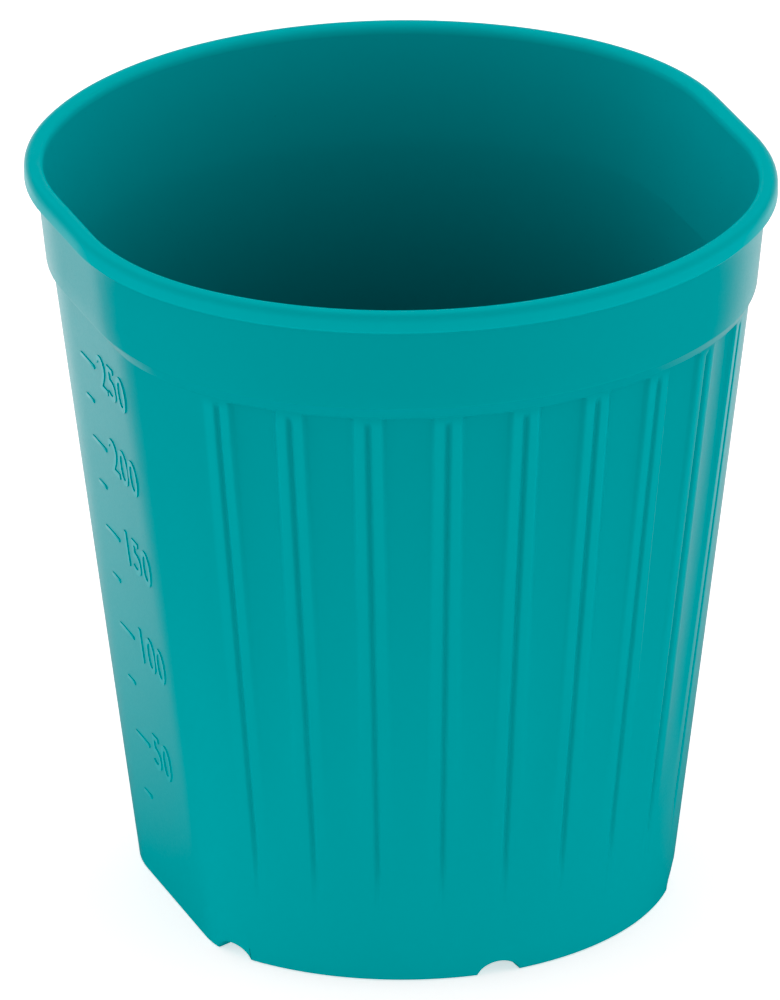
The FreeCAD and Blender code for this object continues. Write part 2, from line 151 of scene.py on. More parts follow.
class RibShape(PropertyGroup):
    """The ribs and the recessed panels between them, on the two round sides."""

    divisions: IntProperty(name="Divisions", description="Rib pitch, as a share of a full turn",
                           default=28, min=8)
    ribs_per_side: IntProperty(name="Ribs a side", description="Ribs on one round side", default=9,
                               min=1)
    crest_place: length("Crest place", "From a rib's middle line to the top of its crest", 1.2)
    crest_reach: length("Crest reach", "From a rib's middle line to where its side falls away", 1.5)
    side_width: length("Side width", "Width of the fall from the crest to the panel", 0.65)
    crown: length("Crown", "How far a crest's shoulders lie under its top", 0.05)
    line_width: length("Line width", "Width of the fine line down a rib's middle", 0.95)
    line_depth: length("Line depth", "Depth of that line", 0.3)
    panel_depth: length("Panel depth", "Depth of a panel at its top edge", 0.5)
    panel_hollow: length("Panel hollow", "How far a panel's middle lies below its sides", 0.25)
    panel_fall: FloatProperty(name="Panel fall", default=1.6, min=0.1, max=4.0,
                              description="How fast a panel gets shallower downwards")
    top_gap: length("Top gap", "From the bevel down to the panels' top edge", 0.1)
    top_edge: length("Top edge", "Height of the panels' crisp top edge", 0.3)
    line_gap: length("Line gap", "From the bevel down to where the fine line starts", 1.6)
    foot_height: length("Foot height", "Where the panels and lines run out", 12.4)
    foot_fade: length("Foot fade", "Height over which the lines run out", 7.0)


class ScaleShape(PropertyGroup):
    """The raised volume scale on the flat that faces -X."""

    relief: length("Relief", "How far the marks stand proud of the wall", 0.11)
    sunk: length("Sunk", "How far the marks reach into the wall", 0.12)
    numeral_height: length("Numeral height", "Height of the numerals", 4.6)
    mark_thickness: length("Mark thickness", "Height of a level mark", 0.55)
    long_mark: length("Long mark", "Length of a mark at a numbered level", 5.0)
    short_mark: length("Short mark", "Length of a mark between them", 2.8)
    mark_start: length("Mark start", "From the flat's middle line to the marks' outer end", 6.2)
    step_volume: FloatProperty(name="Step", description="Volume between two marks, in millilitres",
                               default=25.0, min=1.0)
    numbered_volume: FloatProperty(name="Numbered step", default=50.0, min=1.0,
                                   description="Volume between two numbered marks, in millilitres")
    largest_volume: FloatProperty(name="Largest", default=250.0, min=1.0,
                                  description="Volume at the top mark, in millilitres")


class PlasticFinish(PropertyGroup):
    """Colour and surface of the plastic, with light and shade painted into several of its colours.
    """

    # Painted light and shade: the wall is coloured lighter low down, where the floor's light falls,
    # and darker high up and on the collar.
    lower_lit_colour: colour("Body colour", "Colour low on the wall", (0.0, 0.368, 0.396))
    deep_colour: colour("Deep colour", "Colour where the pigment lies thicker", (0.0, 0.344, 0.372))
    upper_shade_colour: colour("Upper colour", "Colour high on the wall and on the collar",
                         (0.0, 0.322, 0.349))
    # Painted highlight: the rib crests are coloured lighter than the panels, in place of the light
    # that the raised crests catch.
    crest_highlight_colour: colour("Crest colour", "Colour of the rib crests, rubbed a little lighter",
                         (0.0, 0.368, 0.398))
    # Painted light: the whole bead is coloured lighter than the wall, in place of the light that
    # falls on it from above.
    bead_lit_colour: colour("Bead colour", "Colour of the bead, which lets light through",
                        (0.0, 0.380, 0.410))
    # Painted highlight: the bead's top is coloured lighter, in place of the light that falls on it
    # from above.
    lip_highlight_colour: colour("Lip colour", "Colour of the bead's top, rubbed a little lighter",
                       (0.0, 0.520, 0.555))
    inner_colour: colour("Inner colour", "Colour inside, near the rim", (0.0, 0.372, 0.410))
    # Painted shade: the inside is coloured darker towards the bottom, in place of the shade deep in
    # the cup.
    inner_shade_colour: colour("Inner deep colour", "Colour inside, at the bottom",
                              (0.0, 0.150, 0.168))
    # Painted light and shade, as on the wall: the raised marks are coloured lighter low down and
    # darker high up.
    relief_lit_colour: colour("Relief colour", "Colour of the raised marks, low on the wall",
                          (0.0, 0.400, 0.430))
    relief_upper_shade_colour: colour("Relief upper colour", "Colour of the raised marks, high up",
                                (0.0, 0.360, 0.390))
    roughness: share("Roughness", "Roughness of the satin outside", 0.36)
    inner_roughness: share("Inner roughness", "Roughness of the polished inside", 0.30)
    relief_roughness: share("Relief roughness", "Roughness of the raised marks", 0.33)
    specular: share("Specular", "Strength of the clear reflection", 0.5)
    bead_specular: share("Bead specular", "Strength of the clear reflection on the bead", 0.2)
    grain_size: length("Grain size", "Size of the mould's fine grain", 0.35)


class StudioShape(PropertyGroup):
    """Camera, floor and lights."""

    lens: FloatProperty(name="Lens", description="Focal length", default=720.0, min=1.0,
                        unit="CAMERA")
    distance: FloatProperty(name="Distance", description="Camera to the point that it looks at",
                            default=2.374, min=0.1, unit="LENGTH")
    elevation: angle("Elevation", "How far the camera looks down", 23.96)
    turn: angle("Turn", "Turn of the camera round the cup, from the front", 20.2)
    roll: angle("Roll", "Tilt of the camera about its own axis", -0.40)
    aim_height: length("Aim height", "Height of the point that the camera looks at", 48.0)
    aim_side: length("Aim side", "How far that point lies to the left of the cup's axis", 1.5)
    floor_colour: colour("Floor colour", "Colour of the floor", (0.92, 0.87, 0.87))
    floor_glow: share("Floor glow", "How brightly the floor is lit from under", 0.62)
    floor_radius: FloatProperty(name="Floor radius", description="Radius of the floor", default=9.0,
                                min=0.5, unit="LENGTH")
    room_colour: colour("Room colour", "Colour of the light all round", (1.0, 1.0, 1.0))
    room_light: FloatProperty(name="Room light", description="Strength of the light all round",
                              default=1.75, min=0.0)
    side_light: FloatProperty(name="Side light", default=0.25, min=0.0,
                              description="How much brighter the room is to the left and right")
    front_dimming: share("Front dimming", "How much darker the room is on the camera's side", 0.63)
    top_dimming: share("Top dimming", "How much darker the room is overhead", 0.70)
    room_gloss: share("Room gloss", "Strength of the room where it shows in gloss", 0.30)
    red_held_back: share("Red held back", "The faintest red that the picture shows", 0.035)
    pool_light: FloatProperty(name="Pool light", default=1.42, min=0.0,
                              description="Strength, in gloss, of the lit floor behind the cup")
    pool_left: angle("Pool left edge", "Left edge of the lit floor, from straight back", 40.5)
    pool_right: angle("Pool right edge", "Right edge of the lit floor, from straight back", 45.0)
    pool_right_share: share("Pool right share", "Strength of the pool's right side, of its left",
                            0.80)
    pool_soft: angle("Pool softness", "Width of those edges", 14.0)
    pool_start_x: length("Pool start, sideways", "From the cup's axis to the edges' start", 28.0)
    pool_start_y: length("Pool start, forwards", "From the cup's axis to the edges' start", 21.0)
    floor_gloss: share("Floor gloss", "Strength, in gloss, of the rest of the floor", 0.05)
    pool_near: length("Pool near edge", "From the cup's axis to where the lit floor begins", 28.0)
    pool_far: length("Pool far edge", "From the cup's axis to where it is fully lit", 157.0)


# -------------------------------------------------------------------------------------------------
# Outlines and profile of the moulding
# -------------------------------------------------------------------------------------------------

def outline_reach(azimuths, radius, flat_depth, flat_width):
    """Distance from the cup's axis to an outline, at each azimuth from +X."""
    flat_place = radius - flat_depth
    flat_end = flat_width / 2
    blend = radius - flat_depth / 2 - flat_end ** 2 / (2 * flat_depth)
    corner_x = flat_place - blend
    across, along = np.abs(np.cos(azimuths)), np.abs(np.sin(azimuths))
    on_flat = along * flat_place <= flat_end * across
    on_blend = along * corner_x <= flat_end * across
    reach = corner_x * across + flat_end * along
    spare = blend ** 2 - corner_x ** 2 - flat_end ** 2 + reach ** 2
    blend_reach = reach + np.sqrt(np.maximum(spare, 0))
    flat_reach = flat_place / np.maximum(across, 1e-9)
    return np.where(on_flat, flat_reach, np.where(on_blend, blend_reach, radius))


class Levels:
    """Heights, and the size of the outer outline at any height."""

    def __init__(self, shape):
        self.collar_top = shape.height - shape.bead_height
        self.collar_foot = self.collar_top - shape.collar_height
        self.body_top = self.collar_foot - shape.step_height
        self.cup_floor = shape.foot_height + shape.floor_thickness
        collar_top_radius = shape.rim_radius - shape.bead_overhang
        collar_foot_radius = collar_top_radius - shape.collar_draft
        body_top_radius = collar_foot_radius - shape.step_depth
        self.heights = [0.0, self.body_top, self.collar_foot, self.collar_top,
                        self.collar_top + BEAD_STEP, shape.height]
        self.radii = [shape.base_radius, body_top_radius, collar_foot_radius, collar_top_radius,
                      shape.rim_radius, shape.rim_radius]
        self.flat_depths = [shape.base_flat_depth, shape.body_flat_depth, shape.collar_flat_depth,
                            shape.collar_flat_depth, shape.rim_flat_depth, shape.rim_flat_depth]
        self.flat_widths = [shape.base_flat_width, shape.body_flat_width, shape.collar_flat_width,
                            shape.collar_flat_width, shape.rim_flat_width, shape.rim_flat_width]

    def radius(self, z):
        return float(np.interp(z, self.heights, self.radii))

    def flats(self, z):
        return (float(np.interp(z, self.heights, self.flat_depths)),
                float(np.interp(z, self.heights, self.flat_widths)))


def rounded_path(corners, spacing):
    """Points of a path in the plane of radius and height, with its corners rounded.

    Each corner is (radius, height, rounding). spacing is the length of the longest straight piece.
    """
    points = []
    for index, (r, z, rounding) in enumerate(corners):
        here = Vector((r, z))
        if index in (0, len(corners) - 1) or rounding <= 0:
            points.append(here)
            continue
        back = Vector(corners[index - 1][:2]) - here
        ahead = Vector(corners[index + 1][:2]) - here
        half_angle = back.angle(ahead) / 2
        trim = min(rounding / math.tan(half_angle), 0.48 * back.length, 0.48 * ahead.length)
        rounding = trim * math.tan(half_angle)
        centre = here + (back.normalized() + ahead.normalized()).normalized() * (
            rounding / math.sin(half_angle))
        first = here + back.normalized() * trim - centre
        last = here + ahead.normalized() * trim - centre
        turn = first.angle_signed(last)
        steps = max(2, math.ceil(abs(turn) / CORNER_TURN))
        for step in range(steps + 1):
            share_done = step / steps
            points.append(centre + Matrix.Rotation(-turn * share_done, 2) @ first)
    path = [points[0]]
    for point in points[1:]:
        gap = (point - path[-1]).length
        pieces = max(1, math.ceil(gap / spacing))
        start = path[-1].copy()
        for piece in range(1, pieces + 1):
            path.append(start.lerp(point, piece / pieces))
    return path


# -------------------------------------------------------------------------------------------------
# Columns of the shell's mesh: they follow the ribs, the fine lines and the notches. The offsets are
# in millimetres from a rib's or a notch's middle.
# -------------------------------------------------------------------------------------------------

RIB_OFFSETS = (0.14, 0.28, 0.42, 0.6, 0.85, 1.15, 1.38, 1.54, 1.7, 1.86, 2.05)
RIB_OUTER_OFFSETS = (2.3, 2.75)
NOTCH_OFFSETS = (0.4, 0.8, 1.15, 1.45, 1.7, 1.9, 2.08, 2.24, 2.38, 2.5, 2.62, 2.8)
FLAT_COLUMN_WIDTH = 1.3 * MM
WIDEST_PANEL = 6 * MM
PANEL_FILL = 4
INNER_THINNING = 4


def smooth(low, high, value):
    """0 below low, 1 above high, and a smooth rise between them."""
    t = np.clip((value - low) / (high - low), 0.0, 1.0)
    return t * t * (3 - 2 * t)


class Columns:
    """Azimuths of the mesh's columns at any height.

    Each column is a blend of two lines, a and b, each at a fixed arc length beside an azimuth.
    """

    def __init__(self, ribs, shape, radius):
        pitch = math.tau / ribs.divisions
        half_side = (ribs.ribs_per_side - 1) / 2
        anchors = []
        for middle in (-math.pi / 2, math.pi / 2):
            for number in range(ribs.ribs_per_side):
                azimuth = middle + (number - half_side) * pitch
                outer = RIB_OUTER_OFFSETS
                before = RIB_OFFSETS + (outer if number else ())
                after = RIB_OFFSETS + (outer if number < ribs.ribs_per_side - 1 else ())
                anchors.append((azimuth, before, after))
        for number in range(shape.notch_count):
            azimuth = -math.pi / 2 + number * math.tau / shape.notch_count
            if all(abs(math.remainder(azimuth - other[0], math.tau)) > pitch / 2
                   for other in anchors):
                anchors.append((math.remainder(azimuth, math.tau), NOTCH_OFFSETS, NOTCH_OFFSETS))
        anchors.sort()
        lines = []
        for index, (azimuth, before, after) in enumerate(anchors):
            offsets = [-offset for offset in reversed(before)] + [0.0] + list(after)
            lines += [(azimuth, offset * MM, azimuth, offset * MM, 0.0) for offset in offsets]
            next_azimuth, next_before, _ = anchors[(index + 1) % len(anchors)]
            if index + 1 == len(anchors):
                next_azimuth += math.tau
            gap = (next_azimuth - azimuth) * radius - (after[-1] + next_before[-1]) * MM
            beside_panel = min(len(after), len(next_before)) > len(RIB_OFFSETS)
            if beside_panel and gap < WIDEST_PANEL:
                fill = PANEL_FILL
            else:
                fill = max(1, round(gap / FLAT_COLUMN_WIDTH))
            for piece in range(1, fill + 1):
                lines.append((azimuth, after[-1] * MM, next_azimuth, -next_before[-1] * MM,
                              piece / (fill + 1)))
        while len(lines) % INNER_THINNING:
            lines.append((*lines[-1][:4], (1 + lines[-1][4]) / 2))
        self.a, self.a_offset, self.b, self.b_offset, self.blend = np.array(lines).T

    def azimuths(self, radius):
        first = self.a + self.a_offset / radius
        second = self.b + self.b_offset / radius
        return first * (1 - self.blend) + second * self.blend


def nearest_rib(azimuths, ribs):
    """Signed angle from each azimuth to the nearest rib's middle line, and where panels lie."""
    pitch = math.tau / ribs.divisions
    half_side = (ribs.ribs_per_side - 1) / 2
    from_side = np.remainder(azimuths, math.pi) - math.pi / 2
    number = np.clip(np.round(from_side / pitch), -half_side, half_side)
    off_rib = from_side - number * pitch
    in_row = np.abs(from_side) <= half_side * pitch + 1e-6
    return off_rib, in_row


def wall_recess(azimuths, z, radius, ribs, levels):
    """How far the ribbed wall lies inside the plain outline, at each azimuth of one height."""
    off_rib, in_row = nearest_rib(azimuths, ribs)
    off = np.abs(off_rib) * radius
    half_pitch = math.pi / ribs.divisions * radius
    panel_top = levels.body_top - ribs.top_gap
    up = np.clip((z - ribs.foot_height) / (panel_top - ribs.foot_height), 0.0, 1.0)
    top_edge = 1 - smooth(panel_top - ribs.top_edge, panel_top, z)
    panel = ribs.panel_depth * up ** ribs.panel_fall * top_edge
    hollow = ribs.panel_hollow * smooth(0.0, 0.3, up) * top_edge
    side = smooth(ribs.crest_reach, ribs.crest_reach + ribs.side_width, off)
    edge = ribs.crest_reach + 0.5 * ribs.side_width
    middle = 1 - ((half_pitch - np.maximum(off, edge)) / (half_pitch - edge)) ** 2
    line_top = levels.body_top - ribs.line_gap
    line_foot = ribs.foot_height - 0.3 * ribs.foot_fade
    line_fade = smooth(line_foot, line_foot + ribs.foot_fade, z)
    line_fade = line_fade * (1 - smooth(line_top, line_top + 1.2 * MM, z))
    line = ribs.line_depth * line_fade * (1 - smooth(0.0, ribs.line_width / 2, off))
    shoulder = ((off - ribs.crest_place) / ribs.crest_place) ** 2
    crown = ribs.crown * line_fade * np.clip(shoulder, 0.0, 1.0) * (off < ribs.crest_reach + MM)
    in_panel = np.where(in_row, panel * side + hollow * middle, 0.0)
    return in_panel + line + crown * (1 - side)


def highlighted_share(points, shape, ribs, levels):
    """Share of the painted highlight at each point of the shell: 1 on the rib crests and the top of
    the bead, and 0 elsewhere.
    """
    heights = points[:, 2]
    radius = np.interp(heights, levels.heights, levels.radii)
    azimuths = np.arctan2(points[:, 1], points[:, 0])
    off = np.abs(nearest_rib(azimuths, ribs)[0]) * radius
    across = smooth(0.3 * ribs.line_width, 0.75 * ribs.line_width, off)
    across = across * (1 - smooth(ribs.crest_reach, ribs.crest_reach + ribs.side_width, off))
    line_top = levels.body_top - ribs.line_gap
    crest = across * smooth(ribs.foot_height, line_top, heights) ** 0.5 * (
        1 - smooth(line_top, levels.body_top, heights))
    rim = outline_reach(azimuths, shape.rim_radius, shape.rim_flat_depth, shape.rim_flat_width)
    inset = rim - np.hypot(points[:, 0], points[:, 1])
    lip_foot = shape.height - LIP_REACH * shape.bead_round
    lip = smooth(0.05 * shape.bead_width, 0.4 * shape.bead_width, inset)
    lip = lip * smooth(lip_foot, shape.height - shape.bead_round / 2, heights)
    return np.maximum(crest, lip)


def notch_lift(azimuths, shape):
    """Height of the foot ring's underside at each azimuth."""
    if not shape.notch_count:
        return np.zeros_like(azimuths)
    step = math.tau / shape.notch_count
    from_notch = np.remainder(azimuths + math.pi / 2 + step / 2, step) - step / 2
    off = np.abs(from_notch) * (shape.base_radius - shape.foot_width / 2)
    half = shape.notch_width / 2 + shape.notch_flare
    return shape.notch_height * np.clip(1 - (off / half) ** 2, 0.0, 1.0) ** NOTCH_ARCH


# -------------------------------------------------------------------------------------------------
# Materials
# -------------------------------------------------------------------------------------------------

FLOW_SCALE = 22.0         # drifts of colour that the melt leaves, per metre
PEEL_SCALE = 420.0        # soft waves of the surface, per metre
GRAIN_SHARE = 0.35        # height of the fine grain, of the soft waves'
ROUGHNESS_DRIFT = 0.035
RELIEF_HEIGHT = 0.02 * MM
FIBRE_SCALE = 900.0       # fibres of the paper floor, per metre


def add_node(tree, kind, place, **inputs):
    node = tree.nodes.new(kind)
    node.location = place
    for name, value in inputs.items():
        node.inputs[name.replace("_", " ")].default_value = value
    return node


def math_node(tree, operation, place, *values):
    """A Math node. values are sockets or numbers."""
    node = add_node(tree, "ShaderNodeMath", place)
    node.operation = operation
    for socket, value in zip(node.inputs, values):
        if isinstance(value, bpy.types.NodeSocket):
            tree.links.new(value, socket)
        else:
            socket.default_value = value
    return node.outputs[0]


def ramp(tree, place, value, low, high, at_low, at_high, kind="SMOOTHSTEP"):
    """A change of one number between two values of another."""
    node = add_node(tree, "ShaderNodeMapRange", place, From_Min=low, From_Max=high, To_Min=at_low,
                    To_Max=at_high)
    node.interpolation_type = kind
    tree.links.new(value, node.inputs["Value"])
    return node.outputs["Result"]


def colour_mix(tree, place, factor, first, second):
    """The colour at the factor's share of the way from the first to the second."""
    node = add_node(tree, "ShaderNodeMix", place)
    node.data_type = "RGBA"
    tree.links.new(factor, node.inputs["Factor"])
    tree.links.new(first, node.inputs["A"])
    tree.links.new(second, node.inputs["B"])
    return node.outputs["Result"]


def moulded_surface_group():
    """Colour drift, a height blend of colour that paints light and shade, a painted highlight,
    roughness drift and height of an injection-moulded surface.
    """
    name = "Moulded Surface"
    if name in bpy.data.node_groups:
        return bpy.data.node_groups[name]
    group = bpy.data.node_groups.new(name, "ShaderNodeTree")
    interface = group.interface
    for label, kind, default in (("Grain Size", "NodeSocketFloat", 0.00035),
                                 ("Roughness", "NodeSocketFloat", 0.36),
                                 ("Colour", "NodeSocketColor", (0.0, 0.3, 0.32, 1.0)),
                                 ("Deep Colour", "NodeSocketColor", (0.0, 0.28, 0.3, 1.0)),
                                 ("Upper Colour", "NodeSocketColor", (0.0, 0.3, 0.32, 1.0)),
                                 ("Upper Start", "NodeSocketFloat", 0.0),
                                 ("Upper End", "NodeSocketFloat", 1.0),
                                 ("Highlighted", "NodeSocketFloat", 0.0),
                                 ("Highlighted Colour", "NodeSocketColor", (0.0, 0.4, 0.43, 1.0))):
        socket = interface.new_socket(label, in_out="INPUT", socket_type=kind)
        socket.default_value = default
    for label, kind in (("Colour", "NodeSocketColor"), ("Roughness", "NodeSocketFloat"),
                        ("Height", "NodeSocketFloat")):
        interface.new_socket(label, in_out="OUTPUT", socket_type=kind)
    inside = add_node(group, "NodeGroupInput", (-1100, 0))
    outside = add_node(group, "NodeGroupOutput", (700, 0))
    place = add_node(group, "ShaderNodeTexCoord", (-1100, -300))
    link = group.links.new

    flow = add_node(group, "ShaderNodeTexNoise", (-800, 300), Scale=FLOW_SCALE, Detail=3.0,
                    Roughness=0.5)
    stretch = add_node(group, "ShaderNodeMapping", (-960, 300), Scale=(1.0, 1.0, 0.35))
    link(place.outputs["Object"], stretch.inputs["Vector"])
    link(stretch.outputs["Vector"], flow.inputs["Vector"])
    drift = ramp(group, (-560, 300), flow.outputs["Fac"], 0.3, 0.7, 0.0, 1.0, "LINEAR")
    drifted = colour_mix(group, (-300, 300), drift, inside.outputs["Colour"],
                         inside.outputs["Deep Colour"])
    # Height blend: paints light and shade into the colour, lighter low on the outside wall and
    # darker deep inside the cup.
    parts = add_node(group, "ShaderNodeSeparateXYZ", (-960, 600))
    link(place.outputs["Object"], parts.inputs["Vector"])
    rise = add_node(group, "ShaderNodeMapRange", (-560, 600))
    rise.interpolation_type = "SMOOTHSTEP"
    link(parts.outputs["Z"], rise.inputs["Value"])
    link(inside.outputs["Upper Start"], rise.inputs["From Min"])
    link(inside.outputs["Upper End"], rise.inputs["From Max"])
    upper = colour_mix(group, (-100, 400), rise.outputs["Result"], drifted,
                       inside.outputs["Upper Colour"])
    # Painted highlight: the places that the mesh marks take a lighter colour, in place of the light
    # that they catch.
    highlighted = colour_mix(group, (100, 400), inside.outputs["Highlighted"], upper,
                        inside.outputs["Highlighted Colour"])
    link(highlighted, outside.inputs["Colour"])

    per_metre = math_node(group, "DIVIDE", (-960, -100), 1.0, inside.outputs["Grain Size"])
    grain = add_node(group, "ShaderNodeTexNoise", (-760, -100), Detail=4.0, Roughness=0.6)
    link(place.outputs["Object"], grain.inputs["Vector"])
    link(per_metre, grain.inputs["Scale"])
    peel = add_node(group, "ShaderNodeTexNoise", (-760, -350), Scale=PEEL_SCALE, Detail=2.0,
                    Roughness=0.4)
    link(place.outputs["Object"], peel.inputs["Vector"])
    height = math_node(group, "MULTIPLY_ADD", (-300, -200), grain.outputs["Fac"], GRAIN_SHARE,
                       peel.outputs["Fac"])
    link(height, outside.inputs["Height"])

    gloss = ramp(group, (-300, 60), grain.outputs["Fac"], 0.25, 0.75, -ROUGHNESS_DRIFT,
                 ROUGHNESS_DRIFT, "LINEAR")
    total = math_node(group, "ADD", (100, 60), gloss, inside.outputs["Roughness"])
    link(total, outside.inputs["Roughness"])
    return group


def plastic_material(name, finish, colours, upper, roughness, bump, specular, highlighted=None):
    """Satin coloured plastic. colours are the body's, the drift's and the upper part's.

    upper is the heights between which the upper part's colour takes over; that height blend paints
    light and shade. highlighted is the colour of the painted highlight on the places that the mesh
    marks as highlighted.
    """
    material = bpy.data.materials.new(name)
    material.use_nodes = True
    tree = material.node_tree
    tree.nodes.clear()
    shader = add_node(tree, "ShaderNodeBsdfPrincipled", (200, 0), IOR=1.49)
    shader.inputs["Specular IOR Level"].default_value = specular
    output = add_node(tree, "ShaderNodeOutputMaterial", (500, 0))
    surface = add_node(tree, "ShaderNodeGroup", (-300, 0))
    surface.node_tree = moulded_surface_group()
    surface.inputs["Grain Size"].default_value = finish.grain_size
    surface.inputs["Roughness"].default_value = roughness
    for label, value in zip(("Colour", "Deep Colour", "Upper Colour"), colours):
        surface.inputs[label].default_value = (*value, 1.0)
    surface.inputs["Upper Start"].default_value, surface.inputs["Upper End"].default_value = upper
    if highlighted:
        surface.inputs["Highlighted Colour"].default_value = (*highlighted, 1.0)
        highlighted_places = add_node(tree, "ShaderNodeAttribute", (-500, 0))
        highlighted_places.attribute_name = HIGHLIGHTED_LAYER
        tree.links.new(highlighted_places.outputs["Fac"], surface.inputs["Highlighted"])
    relief = add_node(tree, "ShaderNodeBump", (0, -250), Strength=bump, Distance=RELIEF_HEIGHT)
    tree.links.new(surface.outputs["Colour"], shader.inputs["Base Color"])
    tree.links.new(surface.outputs["Roughness"], shader.inputs["Roughness"])
    tree.links.new(surface.outputs["Height"], relief.inputs["Height"])
    tree.links.new(relief.outputs["Normal"], shader.inputs["Normal"])
    tree.links.new(shader.outputs["BSDF"], output.inputs["Surface"])
    return material


def studio_directions(tree, studio, socket):
    """The x, y and z of a place or direction, with y pointing away from the camera."""
    turned = add_node(tree, "ShaderNodeMapping", (-1300, 0), Rotation=(0.0, 0.0, studio.turn))
    parts = add_node(tree, "ShaderNodeSeparateXYZ", (-1100, 0))
    tree.links.new(socket, turned.inputs["Vector"])
    tree.links.new(turned.outputs["Vector"], parts.inputs["Vector"])
    return parts.outputs


def floor_material(studio):
    """Pale matt paper. Gloss shows it lit behind the cup only, and from below it is clear."""
    material = bpy.data.materials.new("studio_paper")
    material.use_nodes = True
    tree = material.node_tree
    tree.nodes.clear()
    link = tree.links.new
    shader = add_node(tree, "ShaderNodeBsdfPrincipled", (0, 0), Roughness=0.85)
    shader.inputs["Specular IOR Level"].default_value = 0.1
    shader.inputs["Emission Color"].default_value = (*studio.floor_colour, 1.0)
    shader.inputs["Emission Strength"].default_value = studio.floor_glow
    place = add_node(tree, "ShaderNodeTexCoord", (-1500, 0))
    fibre = add_node(tree, "ShaderNodeTexNoise", (-600, 0), Scale=FIBRE_SCALE, Detail=3.0)
    tone = add_node(tree, "ShaderNodeMapRange", (-400, 0), To_Min=0.985, To_Max=1.0)
    mix = tree.nodes.new("ShaderNodeMix")
    mix.data_type = "RGBA"
    mix.blend_type = "MULTIPLY"
    mix.location = (-200, 0)
    mix.inputs["Factor"].default_value = 1.0
    mix.inputs["A"].default_value = (*studio.floor_colour, 1.0)
    link(place.outputs["Object"], fibre.inputs["Vector"])
    link(fibre.outputs["Fac"], tone.inputs["Value"])
    link(tone.outputs["Result"], mix.inputs["B"])
    link(mix.outputs["Result"], shader.inputs["Base Color"])

    x, y, _ = studio_directions(tree, studio, place.outputs["Object"])
    ahead = math_node(tree, "ADD", (-900, -100), y, studio.pool_start_y)
    from_left = math_node(tree, "ADD", (-900, -200), x, studio.pool_start_x)
    from_right = math_node(tree, "SUBTRACT", (-900, -400), x, studio.pool_start_x)
    left_turn = math_node(tree, "ARCTAN2", (-800, -200), from_left, ahead)
    right_turn = math_node(tree, "ARCTAN2", (-800, -400), from_right, ahead)
    reach = add_node(tree, "ShaderNodeVectorMath", (-900, -600))
    reach.operation = "LENGTH"
    link(place.outputs["Object"], reach.inputs[0])
    half_soft = studio.pool_soft / 2
    left = ramp(tree, (-700, -300), left_turn, -studio.pool_left - half_soft,
                -studio.pool_left + half_soft, 0.0, 1.0)
    right = ramp(tree, (-700, -500), right_turn, studio.pool_right - half_soft,
                 studio.pool_right + half_soft, 1.0, 0.0)
    far = ramp(tree, (-700, -700), reach.outputs["Value"], studio.pool_near, studio.pool_far, 0.0,
               studio.pool_light, "LINEAR")
    behind = ramp(tree, (-700, -100), ahead, 0.0, studio.pool_start_y, 0.0, 1.0)
    weaker = ramp(tree, (-700, -900), right_turn, -studio.pool_soft, 0.0, 1.0,
                  studio.pool_right_share)
    even = math_node(tree, "MULTIPLY", (-600, -100), behind, weaker)
    corner = math_node(tree, "MULTIPLY", (-500, -300), left, even)
    sides = math_node(tree, "MULTIPLY", (-500, -400), corner, right)
    pool = math_node(tree, "MULTIPLY", (-300, -500), sides, far)
    strength = math_node(tree, "ADD", (-100, -500), pool, studio.floor_gloss)
    lit = add_node(tree, "ShaderNodeEmission", (100, -400), Color=(*studio.room_colour, 1.0))
    link(strength, lit.inputs["Strength"])
    clear = add_node(tree, "ShaderNodeBsdfTransparent", (100, 200))
    side = add_node(tree, "ShaderNodeNewGeometry", (0, 400))
    ray = add_node(tree, "ShaderNodeLightPath", (100, 600))
    in_gloss = add_node(tree, "ShaderNodeMixShader", (300, -100))
    chosen = add_node(tree, "ShaderNodeMixShader", (500, 0))
    output = add_node(tree, "ShaderNodeOutputMaterial", (700, 0))
    link(ray.outputs["Is Glossy Ray"], in_gloss.inputs["Fac"])
    link(shader.outputs["BSDF"], in_gloss.inputs[1])
    link(lit.outputs["Emission"], in_gloss.inputs[2])
    link(side.outputs["Backfacing"], chosen.inputs["Fac"])
    link(in_gloss.outputs["Shader"], chosen.inputs[1])
    link(clear.outputs["BSDF"], chosen.inputs[2])
    link(chosen.outputs["Shader"], output.inputs["Surface"])
    material.cycles.emission_sampling = "NONE"
    return material


def deepen_red(view, studio):
    """Hold the faintest red back, so that a teal as deep as this one stays pure."""
    view.use_curve_mapping = True
    mapping = view.curve_mapping
    red = mapping.curves[0]
    red.points[0].location = (studio.red_held_back, 0.0)
    red.points.new(4 * studio.red_held_back, 3.4 * studio.red_held_back)
    mapping.update()


